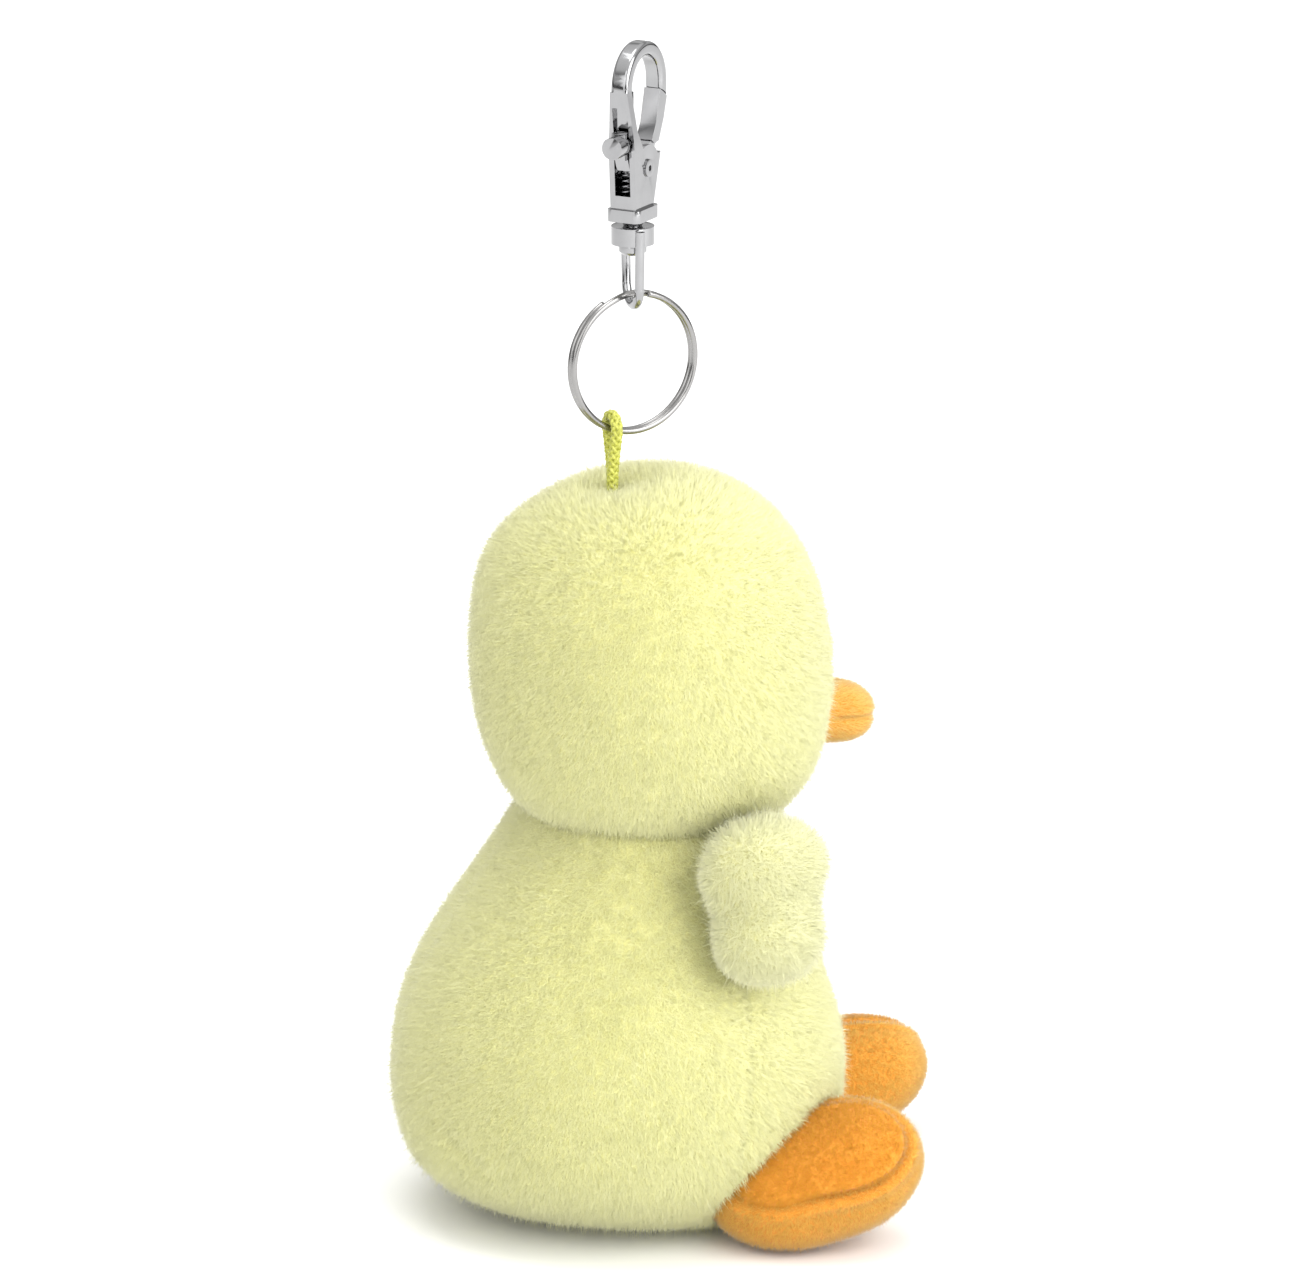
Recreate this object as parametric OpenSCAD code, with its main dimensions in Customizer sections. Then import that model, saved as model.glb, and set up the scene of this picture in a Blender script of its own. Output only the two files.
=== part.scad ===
// Plush chick keychain: trigger clasp, swivel eye, split ring, hang loop and a stuffed chick.
// +Z is up and the chick faces -Y. The origin is the centre of the clasp's hook.

/* [Clasp] */
// Centreline radius of the hook
hook_r = 5.1; // [4.6:0.1:5.6]
// Radial thickness of the hook's bar
bar_w = 1.9; // [1.6:0.1:2.2]
// Thickness of the hook's bar across the clasp
bar_t = 2.6; // [2.4:0.1:3]
// Thickness of the clasp's body
clasp_t = 3.9; // [3.6:0.1:4.4]
// Width of the slot that holds the gate lever
slot_t = 2.3; // [2:0.1:2.4]
// Turn of the clasp about the vertical
clasp_turn = -35; // [-90:1:90]
// Height of the swivel flange's underside
flange_z = -18; // [-19:0.5:-17.5]

/* [Swivel eye] */
// Diameter of the eye's bar
eye_bar_d = 1.3; // [1.1:0.1:1.5]
// Centreline radius of the eye's round bottom
eye_r = 2.9; // [2.8:0.1:3]
// Height of the bottom bar's centre
eye_bar_z = -29.95; // [-31:0.05:-29.5]
// Turn of the eye about the vertical
eye_turn = 10; // [-20:1:40]

/* [Split ring] */
// Outer diameter of the ring
ring_d = 20; // [18:0.5:22]
// Diameter of its wire
wire_d = 0.9; // [0.8:0.05:1]
// Turn of the ring about the vertical
ring_turn = 113; // [100:1:135]
// Height of the ring's centre
ring_z = -37.95; // [-38.05:0.05:-37.9]

/* [Hang loop] */
// Diameter of the braided cord
cord_d = 1.7; // [1.5:0.1:1.9]
// Place of the loop round the ring, from the ring's lowest point
loop_at = 20; // [10:1:25]

/* [Chick] */
// Height of the base above the hook's centre
ground = -158.8; // [-160:0.2:-158]
// Height of the neck seam
neck_z = -101; // [-102:0.5:-100]
// Widest radius of the body
body_r = 31.6; // [30:0.2:33]
// Forward lean of the body
body_lean = 7.5; // [5:0.5:9]
// Widest radius of the head
head_r = 25; // [24:0.2:26]
// Turn of the head to the chick's left
head_turn = 14; // [0:1:20]
// Backward tilt of the head
head_tilt = 2.5; // [0:0.5:4]
// Thickness of the plush on the head and body, pile included
plush_t = 2.4; // [2:0.1:3]
// Thickness of the plush on the wings and feet, pile included
trim_t = 1.5; // [1.2:0.1:1.8]

/* [Hidden] */

$fn = 64;
far = 200;                         // larger than the whole object
hair = 0.05;                       // running clearance and thread gaps
lap = 0.15;                        // overlap of straight bars with their bends

chrome = "silver";
yellow = "khaki";
orange = "orange";
white = "white";

swivel_x = -1.85;                  // swivel axis, from the hook's centre, across the clasp
hang_x = swivel_x * cos(clasp_turn);
hang_y = swivel_x * sin(clasp_turn);

pivot = [-1, -11];                 // the gate's pin, in the clasp's own x and z
pin_r = 0.7;
hub_r = 2;
notch_r = 3.2;                     // round cut in the body that the gate's foot turns in
hook_tip = 2.9;                    // straight part of the hook's open end
sweep_r = 11.2;                    // the hook's end is cut round the pivot, so that the gate swings past it
gate_t = slot_t - 0.3;
gate_bar_t = bar_t - 0.2;

flange_t = 1.7;
neck_h = 0.9;
boss_r = 2.95;
boss_h = 2.45;
boss_z = flange_z - neck_h - hair - boss_h;
shaft_r = 1;
rivet_head_r = 1.9;
rivet_head_h = 1.4;
leg_top_x = 3.3;                   // half the distance between the eye's legs at the boss

ring_r = (ring_d - wire_d) / 2;
coil_gap = wire_d - 0.06;          // the two coils are sprung together
loop_r = 1.85;                     // bend of the cord round the ring's two wires
loop_foot = 0.87;                  // half the distance between the strands at the seam
loop_seam_z = -55.5;
knot_top = -63;

mid_x = hang_x;                    // the chick's middle plane holds the swivel axis
body_mid = [mid_x, 3.44, -140];
body_h0 = -18.8;                   // base of the body's outline, below body_mid
head_mid = [mid_x, -1.4, -80.2];
head_up = 27.4;
head_down = 24.5;

eye_side = 17;                     // angle of each eye from straight ahead
eye_dome_r = 2.3;
eye_sink = 2.1;                    // depth of the dome's middle below the plush's surface
wing_side = 23;                    // angle of each wing's root in front of straight out
wing_root_r = 20.1;                // distance of the wing's hinge line from the chick's middle
wing_root_z = -97;
wing_root_y = -1.6;

// ---------- clasp ----------

module in_clasp() rotate([0, 0, clasp_turn]) children();

// Draws a flat outline of the clasp's own x and z as a plate of thickness t, centred on its middle.
module plate(t) rotate([90, 0, 0]) linear_extrude(t, center = true) children();

module rounded_bar(w, t, r) {
    square([w - 2 * r, t], center = true);
    square([w, t - 2 * r], center = true);
    for (x = [-1, 1], y = [-1, 1])
        translate([x * (w / 2 - r), y * (t / 2 - r)]) circle(r);
}

function arc(c, r, a0, a1, n) = [for (i = [0:n]) let (a = a0 + (a1 - a0) * i / n)
    [c.x + r * cos(a), c.y + r * sin(a)]];

module hook() {
    rotate([90, 0, 0]) rotate_extrude(angle = 180)
        translate([hook_r, 0]) rounded_bar(bar_w, bar_t, 0.6);
    difference() {
        translate([hook_r, 0, -hook_tip]) linear_extrude(hook_tip) rounded_bar(bar_w, bar_t, 0.6);
        translate([pivot.x, 0, pivot.y]) rotate([90, 0, 0]) cylinder(bar_t + 1, r = sweep_r, center = true);
    }
}

body_outline = concat(
    [[-hook_r - bar_w / 2, 0], [-5.25, -5.5], [-5.1, -9], [-4.65, flange_z + flange_t],
     [0.55, flange_z + flange_t], [2.65, -9.3]],
    arc(pivot, notch_r, 28, 118, 9),
    [[-3.9, -5.5], [-4.45, -2], [-hook_r + bar_w / 2, 0]]);

slot_outline = concat(
    [[-7, -2.2], [-7, -14.4], [-2.4, -14.4]],
    arc(pivot, hub_r + 0.3, -80, 5, 8),
    arc(pivot, notch_r + 2, 40, 100, 6),
    [[-3.3, -7.4], [-4.75, -5.2], [-4.95, -2.2]]);

// The body is as thin as the hook's bar at its top and thickens below it.
module body_taper() rotate([90, 0, 90]) linear_extrude(far, center = true) polygon(
    [[-bar_t / 2, 1], [-bar_t / 2, 0], [-clasp_t / 2, -7], [-clasp_t / 2, -far],
     [clasp_t / 2, -far], [clasp_t / 2, -7], [bar_t / 2, 0], [bar_t / 2, 1]]);

module clasp_body() color(chrome) in_clasp() difference() {
    union() {
        hook();
        intersection() {
            plate(clasp_t) polygon(body_outline);
            body_taper();
        }
        translate([swivel_x, 0, flange_z]) linear_extrude(flange_t) rounded_bar(6.4, 5, 0.9);
        translate([swivel_x, 0, flange_z - neck_h]) cylinder(neck_h + 0.1, 1.25, 1.9);
    }
    plate(slot_t) polygon(slot_outline);
    translate([pivot.x, 0, pivot.y]) rotate([90, 0, 0]) cylinder(clasp_t + 1, r = pin_r, center = true);
    translate([swivel_x, 0, flange_z - neck_h - 1]) cylinder(4.4, r = shaft_r);
}

gate_bar_outline = [[4.1, -0.5], [6, -0.5], [6, -2.4], [5.05, -5.2], [3.6, -8.1], [2.3, -8.3], [1.5, -7.7],
    [2.7, -5.6]];
// Inside the slot, the gate's foot reaches the pin and its arm reaches the thumb block and the spring.
gate_foot_outline = [[1.6, -7.8], [3.4, -8], [1.1, -10.4], [-1, -9.2]];
gate_arm_outline = [[-5.3, -9], [-3.7, -7.9], [0, -9.4], [-1.6, -12.7], [-2.5, -10.9], [-4.6, -10.9]];
thumb_outline = [[-6.1, -5.6], [-5.15, -5.4], [-4.6, -7.6], [-4.6, -9.2], [-6.1, -9.2]];

module gate_lever() color(chrome) in_clasp() difference() {
    union() {
        plate(gate_bar_t) intersection() {
            polygon(gate_bar_outline);
            translate(pivot) circle(sweep_r - 0.1);
        }
        plate(gate_t) polygon(gate_foot_outline);
        plate(gate_t) polygon(gate_arm_outline);
        translate([pivot.x, 0, pivot.y]) rotate([90, 0, 0]) cylinder(gate_t, r = hub_r, center = true);
        plate(gate_t) polygon(thumb_outline);
        translate([-8, 0, -7.3]) rotate([0, 90, 0]) cylinder(2.4, r = 1.5);
    }
    translate([pivot.x, 0, pivot.y]) rotate([90, 0, 0])
        cylinder(clasp_t, r = pin_r + hair, center = true);
}

module gate_pin() color(chrome) in_clasp() translate([pivot.x, 0, pivot.y]) rotate([90, 0, 0])
    difference() {
        union() {
            cylinder(clasp_t, r = pin_r, center = true);
            for (side = [-1, 1]) translate([0, 0, side * (clasp_t / 2 + 0.125)])
                cylinder(0.25, r = 1.2, center = true);
        }
        for (side = [-1, 1]) translate([0, 0, side * (clasp_t / 2 + 0.2)])
            cylinder(0.7, r = 0.4, center = true);
    }

// A round wire swept along a helix: turns of radius r that climb h.
module coil(r, h, turns, wire, sides = 6, steps = 14) {
    n = turns * steps;
    points = [for (i = [0:n], j = [0:sides - 1])
        let (a = 360 * i / steps, b = 360 * j / sides, q = r + wire / 2 * cos(b))
        [q * cos(a), q * sin(a), h * i / n + wire / 2 * sin(b)]];
    walls = [for (i = [0:n - 1], j = [0:sides - 1]) let (k = (j + 1) % sides)
        [i * sides + j, (i + 1) * sides + j, (i + 1) * sides + k, i * sides + k]];
    ends = [[for (j = [0:sides - 1]) j], [for (j = [sides - 1:-1:0]) n * sides + j]];
    polyhedron(points, concat(walls, ends));
}

module gate_spring() color("gray") in_clasp() translate([-3.55, 0, -14.22]) coil(0.6, 3.1, 4, 0.26);

module swivel_rivet() color(chrome) translate([hang_x, hang_y, 0]) {
    translate([0, 0, boss_z - hair]) cylinder(2.5 + boss_h + neck_h, r = shaft_r);
    translate([0, 0, boss_z - hair - rivet_head_h]) cylinder(0.4, 1.5, rivet_head_r);
    translate([0, 0, boss_z - hair - rivet_head_h + 0.4]) cylinder(rivet_head_h - 0.4, r = rivet_head_r);
}

// ---------- swivel eye and split ring ----------

// A round bar from a to b that starts a little inside the bend it grows from.
module rod(a, b, r) {
    d = (b - a) / norm(b - a);
    translate(a - lap * d) rotate([0, acos(d.z), atan2(d.y, d.x)])
        cylinder(norm(b - a) + lap, r = r - 0.01);
}

module swivel_eye() color(chrome) translate([hang_x, hang_y, 0]) rotate([0, 0, eye_turn]) difference() {
    union() {
        translate([0, 0, boss_z]) cylinder(boss_h, r = boss_r);
        arc_z = eye_bar_z + eye_r;
        top_z = boss_z + boss_h - 0.2;
        splay = atan((leg_top_x - eye_r) / (top_z - arc_z));
        translate([0, 0, arc_z]) rotate([90, 0, 0]) rotate([0, 0, 180 + splay])
            rotate_extrude(angle = 180 - 2 * splay) translate([eye_r, 0]) circle(d = eye_bar_d);
        for (side = [-1, 1]) {
            low = [side * eye_r * cos(splay), 0, arc_z - eye_r * sin(splay)];
            high = low + (top_z - low.z) * [side * tan(splay), 0, 1];
            rod(low, high, eye_bar_d / 2);
        }
    }
    translate([0, 0, boss_z - 1]) cylinder(boss_h + 2, r = shaft_r + hair);
}

module at_ring() translate([hang_x, hang_y, ring_z]) rotate([0, 0, ring_turn]) rotate([90, 0, 0]) children();

module split_ring() color(chrome) at_ring() for (side = [-1, 1])
    translate([0, 0, side * coil_gap / 2]) rotate_extrude($fn = 96)
        translate([ring_r, 0]) circle(d = wire_d, $fn = 32);

// ---------- hang loop ----------

// Local x runs across the ring and z up, from the point where the loop rounds the ring's wires.
module at_loop() translate([hang_x + ring_r * sin(loop_at) * cos(ring_turn),
    hang_y + ring_r * sin(loop_at) * sin(ring_turn), 0]) rotate([0, 0, ring_turn - 90]) children();

wire_z = ring_z - ring_r * cos(loop_at);

module cord_shape() {
    // The strands lean in by the angle at which they leave the bend and meet the seam.
    drop = wire_z - loop_seam_z;
    reach = norm([loop_foot, drop]);
    lean = asin(loop_r / reach) - atan(loop_foot / drop);
    translate([0, 0, wire_z]) rotate([90, 0, 0]) rotate([0, 0, -lean])
        rotate_extrude(angle = 180 + 2 * lean) translate([loop_r, 0]) circle(d = cord_d);
    for (side = [-1, 1]) {
        rod([side * loop_r * cos(lean), 0, wire_z - loop_r * sin(lean)],
            [side * loop_foot, 0, loop_seam_z], cord_d / 2);
        translate([side * loop_foot, 0, knot_top]) cylinder(loop_seam_z - knot_top + 0.1, d = cord_d);
    }
}

// The slit that both strands go down through.
module cord_room() translate([-2.4, -cord_d / 2 - 0.02, knot_top]) cube([4.8, cord_d + 0.04, 16]);

module hang_loop_cord() color("yellowgreen") at_loop() cord_shape();

module knot_shape() translate([0, 0, knot_top - 3.4]) {
    cylinder(0.8, 2, 2.8);
    translate([0, 0, 0.8]) cylinder(1.8, r = 2.8);
    translate([0, 0, 2.6]) cylinder(0.8, 2.8, 2.2);
}

module loop_anchor_knot() color("yellowgreen") at_loop() knot_shape();

// ---------- head ----------

module in_head() translate(head_mid) rotate([0, 0, head_turn]) rotate([-head_tilt, 0, 0]) children();

// Fraction of the widest radius at a fraction s of the half height, squarer as n grows.
function super(s, n) = pow(1 - pow(s, n), 1 / n);

head_steps = 14;
head_outline = concat(
    [for (i = [0:head_steps]) let (s = sin(-90 + 90 * i / head_steps))
        [head_r * super(-s, 2.9), head_down * s]],
    [for (i = [1:head_steps]) let (s = sin(90 * i / head_steps))
        [head_r * super(s, 2.25), head_up * s]]);

module head_solid() rotate_extrude($fn = 96) polygon(head_outline);
module above_neck() translate([-far, -far, neck_z]) cube(2 * far);
module below_neck() translate([-far, -far, neck_z - 2 * far]) cube(2 * far);

gusset_w = 15;
module head_shell() difference() {
    intersection() {
        in_head() head_solid();
        above_neck();
    }
    in_head() scale(1 - plush_t / head_r) head_solid();
    for (side = [-1, 1]) at_eye(side) eye_shape();
    at_loop() cord_room();
}

module head_panel(x0, x1) color(yellow) intersection() {
    head_shell();
    in_head() translate([x0, -far, -far]) cube([x1 - x0, 2 * far, 2 * far]);
}
module head_left_panel() head_panel(gusset_w / 2, far);
module head_right_panel() head_panel(-far, -gusset_w / 2);
module head_gusset_panel() head_panel(-gusset_w / 2, gusset_w / 2);

module head_stuffing() color(white) difference() {
    intersection() {
        in_head() scale(1 - (plush_t + hair) / head_r) head_solid();
        above_neck();
    }
    for (side = [-1, 1]) at_eye(side) {
        eye_shape();
        washer_shape();
    }
    at_loop() cord_room();
    at_loop() translate([0, 0, knot_top - 3.5]) cylinder(3.6, r = 2.85);
}

// Local z points out of the face, with z = 0 on the plush's surface.
module at_eye(side) in_head() rotate([0, 0, side * eye_side]) translate([0, -head_r, -2.5])
    rotate([90, 0, 0]) children();

module eye_shape() {
    intersection() {
        translate([0, 0, -eye_sink]) sphere(eye_dome_r);
        translate([0, 0, -plush_t]) cylinder(4, r = 3);
    }
    translate([0, 0, -7]) cylinder(7 - eye_sink, r = 0.9);
}
module washer_shape() translate([0, 0, -4]) difference() {
    cylinder(0.9, r = 3);
    translate([0, 0, -1]) cylinder(3, r = 0.9);
}
module eye_left() color("black") at_eye(1) eye_shape();
module eye_right() color("black") at_eye(-1) eye_shape();
module eye_washer_left() color(white) at_eye(1) washer_shape();
module eye_washer_right() color(white) at_eye(-1) washer_shape();

beak_r = 4.3;
beak_len = 12;
beak_tip = 32.8;                   // distance of the beak's tip from the head's middle
mouth_z = -0.5;                    // height of the mouth line above the beak's middle
beak_outline = concat([[0, 0]], [for (i = [0:6]) let (s = sin(15 * i))
    [beak_r * super(s, 2.4), beak_len * s]]);

module at_beak() in_head() translate([0, beak_len - beak_tip, -11]) rotate([90, 0, 0]) children();
module beak_solid() rotate_extrude() polygon(beak_outline);

module beak_core(gap) translate([0, 0, 1]) cylinder(8.8 - gap, 3.1 - gap, 2.1 - gap);

module beak_half(side) color(orange) difference() {
    intersection() {
        at_beak() beak_solid();
        at_beak() translate([-far, mouth_z + (side > 0 ? hair / 2 : -far - hair / 2), -far])
            cube([2 * far, far, 2 * far]);
    }
    in_head() head_solid();
    at_beak() beak_core(0);
}
module beak_upper_panel() beak_half(1);
module beak_lower_panel() beak_half(-1);
module beak_stuffing() color(white) difference() {
    at_beak() beak_core(hair);
    in_head() head_solid();
}

// ---------- body ----------

module in_body() translate(body_mid) rotate([body_lean, 0, 0]) children();

belly_h = 22;                      // height of the widest part
neck_fall = 15.6;                  // how far the radius falls from there to the top of its curve
function body_radius(h) = h < belly_h
    ? body_r * super((belly_h - h) / (belly_h + 0.3), 3.5)
    : body_r - neck_fall / 2 * (1 - cos(180 * (h - belly_h) / 48));

body_outline_pts = concat([[0, body_h0 - 3]], [[10, body_h0 - 3]],
    [for (h = [0, 0.6, 1.8, 3.6, 6, 9, 13, 17.5, 22, 26, 30, 34, 38, 42, 46, 50, 54, 58, 62, 66])
        [body_radius(h), h + body_h0]],
    [[0, 66 + body_h0]]);

module body_solid() in_body() rotate_extrude($fn = 96) polygon(body_outline_pts);
module body_core(t) translate([mid_x, 2, -134]) scale(1 - t / body_r) translate([-mid_x, -2, 134]) body_solid();
module above_base(z) translate([-far, -far, z]) cube(2 * far);

module body_outside() intersection() {
    body_solid();
    above_base(ground);
    below_neck();
}

module body_side_shell() difference() {
    intersection() {
        body_outside();
        above_base(ground + plush_t);
    }
    body_core(plush_t);
    neck_seam_thread();
}

// A wedge of the body between two directions, counted from straight ahead towards the chick's left.
module sector(a0, a1) translate([mid_x, 2, -far]) linear_extrude(2 * far)
    polygon(concat([[0, 0]], arc([0, 0], far, a0 - 90, a1 - 90, 4)));

belly_side = 62;                   // the belly panel's seams, from straight ahead
module body_belly_panel() color(yellow) intersection() {
    body_side_shell();
    sector(-belly_side, belly_side);
}
module body_back_left_panel() color(yellow) intersection() {
    body_side_shell();
    sector(belly_side, 180);
}
module body_back_right_panel() color(yellow) intersection() {
    body_side_shell();
    sector(180, 360 - belly_side);
}
module body_base_panel() color(yellow) difference() {
    body_outside();
    above_base(ground + plush_t);
}

pouch_at = [mid_x, 3, ground + 4];
module pouch_solid() translate(pouch_at) cylinder(12, 16.3, 15.3);
module pouch_hollow() translate(pouch_at + [0, 0, 0.6]) cylinder(10.8, 15.7, 14.7);
module pellet_pouch() color(white) difference() {
    pouch_solid();
    pouch_hollow();
}
pellet_r = 2;
module weighting_pellets() color("gainsboro") for (layer = [0:1], i = [-3:3], j = [-3:3]) {
    x = (i + layer / 2) * 4.3;
    y = (j + layer / 2) * 4.3;
    if (norm([x, y]) < 12.5) translate(pouch_at + [x, y, 2.8 + layer * 4.4]) sphere(pellet_r, $fn = 16);
}

module body_stuffing() color(white) difference() {
    intersection() {
        body_core(plush_t + hair);
        above_base(ground + plush_t + hair);
        below_neck();
    }
    pouch_solid();
    neck_seam_thread();
}

module neck_seam_thread() color(yellow) translate([mid_x, -1.3, neck_z - 0.6])
    rotate_extrude() translate([17.6, 0]) circle(r = 0.4, $fn = 24);

// ---------- wings ----------

// Local x points out of the chick's side and z up, from the wing's hinge line. side is 1 on the left.
module at_wing(side) translate([mid_x, wing_root_y, wing_root_z])
    mirror([side < 0 ? 1 : 0, 0, 0]) rotate([0, 0, -wing_side]) translate([wing_root_r, 0, 0]) children();

module ball(c, s) translate(c) scale(s) sphere(1, $fn = 28);
module wing_solid(t) hull() {
    ball([5.7, 0, -6.6], [5.1 - t, 9.4 - t, 7 - t]);
    ball([9.3, -0.6, -17.4], [4.4 - t, 8 - t, 5.2 - t]);
}
module wing_skin(side, out) color(yellow) at_wing(side) difference() {
    wing_solid(0);
    wing_solid(trim_t);
    // The seam round the wing lies in the plane through both lobes' middles.
    translate([5.7, 0, -6.6]) rotate([0, 18.4, 0]) translate([out ? -far : 0, -far / 2, -far / 2]) cube(far);
}
module wing_filling(side) color(white) at_wing(side) wing_solid(trim_t + hair);

module wing_left_outer_panel() wing_skin(1, true);
module wing_left_inner_panel() wing_skin(1, false);
module wing_left_stuffing() wing_filling(1);
module wing_right_outer_panel() wing_skin(-1, true);
module wing_right_inner_panel() wing_skin(-1, false);
module wing_right_stuffing() wing_filling(-1);

// ---------- feet ----------

// Each foot is a stuffed pad: its middle, then its turn, toe lift and outward roll.
foot_left_at = [20.4, -30.5, -150.4];
foot_left_turns = [-11, 6, 10];
foot_right_at = [-22, -22.2, -148.9];
foot_right_turns = [-17, -28, -12];
foot_seam_z = 4.6;
foot_left_seam_roll = 22;

module at_foot(side) translate(side > 0 ? foot_left_at : foot_right_at)
    let (t = side > 0 ? foot_left_turns : foot_right_turns)
    rotate([0, 0, t[2]]) rotate([t[0], 0, 0]) rotate([0, t[1], 0]) children();

module foot_solid(t) hull() {
    ball([0, 3.6, 0], [10.9 - t, 12.8 - t, 8.3 - t]);
    ball([0, -4.8, -0.2], [9.4 - t, 9.8 - t, 7.6 - t]);
}
module foot_skin(side, up) color(orange) difference() {
    at_foot(side) difference() {
        foot_solid(0);
        foot_solid(trim_t);
        // The seam between the panels rises towards the heel.
        translate([0, 0, foot_seam_z]) rotate([15.6, side > 0 ? foot_left_seam_roll : 0, 0])
            translate([-far / 2, -far / 2, up ? -far : 0]) cube(far);
    }
    body_room();
}
module foot_filling(side) color(white) difference() {
    at_foot(side) foot_solid(trim_t + hair);
    body_room();
}
// The space that the body and the ground take from a foot.
module body_room() {
    in_body() translate([0, 0, body_h0 - 3]) cylinder(66, r = body_r + 0.15);
    translate([-far, -far, ground - 2 * far]) cube(2 * far);
}

module foot_left_upper_panel() foot_skin(1, true);
module foot_left_sole_panel() foot_skin(1, false);
module foot_left_stuffing() foot_filling(1);
module foot_right_upper_panel() foot_skin(-1, true);
module foot_right_sole_panel() foot_skin(-1, false);
module foot_right_stuffing() foot_filling(-1);

clasp_body();
gate_lever();
gate_pin();
gate_spring();
swivel_rivet();
swivel_eye();
split_ring();
hang_loop_cord();
loop_anchor_knot();
head_left_panel();
head_right_panel();
head_gusset_panel();
head_stuffing();
eye_left();
eye_right();
eye_washer_left();
eye_washer_right();
beak_upper_panel();
beak_lower_panel();
beak_stuffing();
neck_seam_thread();
body_back_left_panel();
body_back_right_panel();
body_belly_panel();
body_base_panel();
body_stuffing();
pellet_pouch();
weighting_pellets();
wing_left_outer_panel();
wing_left_inner_panel();
wing_left_stuffing();
wing_right_outer_panel();
wing_right_inner_panel();
wing_right_stuffing();
foot_left_upper_panel();
foot_left_sole_panel();
foot_left_stuffing();
foot_right_upper_panel();
foot_right_sole_panel();
foot_right_stuffing();
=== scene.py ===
"""Looks of a plush chick keychain: trigger clasp, split ring, braided loop and short-pile chick.

Lengths in the helpers are millimetres in the row frame; meshes are written in metres.
"""

import itertools
import math

import bmesh
import bpy
import numpy as np
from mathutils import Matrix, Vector


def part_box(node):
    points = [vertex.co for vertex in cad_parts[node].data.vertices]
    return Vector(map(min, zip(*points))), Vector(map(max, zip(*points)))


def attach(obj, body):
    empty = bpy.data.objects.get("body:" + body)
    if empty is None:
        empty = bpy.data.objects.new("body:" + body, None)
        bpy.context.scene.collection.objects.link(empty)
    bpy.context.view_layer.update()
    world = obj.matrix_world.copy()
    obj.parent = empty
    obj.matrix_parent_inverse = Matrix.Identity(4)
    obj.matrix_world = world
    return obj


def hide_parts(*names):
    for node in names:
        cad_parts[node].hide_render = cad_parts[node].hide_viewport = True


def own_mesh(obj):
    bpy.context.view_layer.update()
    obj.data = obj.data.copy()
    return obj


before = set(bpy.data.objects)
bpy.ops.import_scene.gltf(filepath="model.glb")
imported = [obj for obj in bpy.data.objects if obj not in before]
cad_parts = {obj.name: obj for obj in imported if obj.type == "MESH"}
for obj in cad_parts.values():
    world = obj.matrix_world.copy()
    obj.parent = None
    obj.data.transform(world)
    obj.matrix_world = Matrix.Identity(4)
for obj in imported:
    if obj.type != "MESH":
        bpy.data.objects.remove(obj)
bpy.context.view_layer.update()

MM = 0.001
DENSITY = 1.0     # share of the pile that is made
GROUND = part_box("body_base_panel")[0].z / MM
random = np.random.default_rng(11)


# ---------- camera ----------

CAMERA_TARGET, CAMERA_DISTANCE = (-0.26, -1.88, -78), 0.95
CAMERA_AROUND, CAMERA_UP, CAMERA_WIDTH = 262, 16, 10.83       # degrees


def add_camera():
    """Looks at the object's middle from its right side, a little from above."""
    around, up = math.radians(CAMERA_AROUND), math.radians(CAMERA_UP)
    back = Vector((math.sin(around) * math.cos(up), -math.cos(around) * math.cos(up),
                   math.sin(up)))
    data = bpy.data.cameras.new("camera")
    data.sensor_fit, data.sensor_width = "HORIZONTAL", 36
    data.lens = 18 / math.tan(math.radians(CAMERA_WIDTH / 2))
    data.clip_start, data.clip_end = 0.05, 30
    camera = bpy.data.objects.new("camera", data)
    camera.location = Vector(CAMERA_TARGET) * MM + back * CAMERA_DISTANCE
    camera.rotation_euler = back.to_track_quat("Z", "Y").to_euler()
    bpy.context.scene.collection.objects.link(camera)
    bpy.context.scene.camera = camera


add_camera()


# ---------- numbers ----------

def unit(v):
    return v / np.maximum(np.linalg.norm(v, axis=-1, keepdims=True), 1e-9)


def turn_x(degrees):
    c, s = math.cos(math.radians(degrees)), math.sin(math.radians(degrees))
    return np.array([[1, 0, 0], [0, c, -s], [0, s, c]])


def turn_y(degrees):
    c, s = math.cos(math.radians(degrees)), math.sin(math.radians(degrees))
    return np.array([[c, 0, s], [0, 1, 0], [-s, 0, c]])


def turn_z(degrees):
    c, s = math.cos(math.radians(degrees)), math.sin(math.radians(degrees))
    return np.array([[c, -s, 0], [s, c, 0], [0, 0, 1]])


def bump(x, width):
    return np.exp(-(x / width) ** 2)


def smooth_step(x):
    x = np.clip(x, 0, 1)
    return x * x * (3 - 2 * x)


def noise(points, size, seed):
    """Smooth random values from -1 to 1 whose lumps are about size across. seed picks a pattern."""
    p = points / size
    cell = np.floor(p).astype(np.int64)
    part = smooth_step(p - cell)
    total = np.zeros(len(p))
    for corner in itertools.product((0, 1), repeat=3):
        c = cell + corner
        h = (c[:, 0] * 73856093) ^ (c[:, 1] * 19349663) ^ (c[:, 2] * 83492791) ^ (seed * 97531)
        h = ((h & 0xFFFFFF) * 1103515245 + 12345) & 0x7FFFFFFF
        h = ((h ^ (h >> 13)) * 12741261) & 0x7FFFFFFF
        weight = np.prod(np.where(corner, part, 1 - part), axis=1)
        total += weight * ((h % 65536) / 32768.0 - 1)
    return total


def noise_vectors(points, size, seed):
    return np.stack([noise(points, size, seed + k) for k in range(3)], axis=1)


# ---------- meshes ----------

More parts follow.
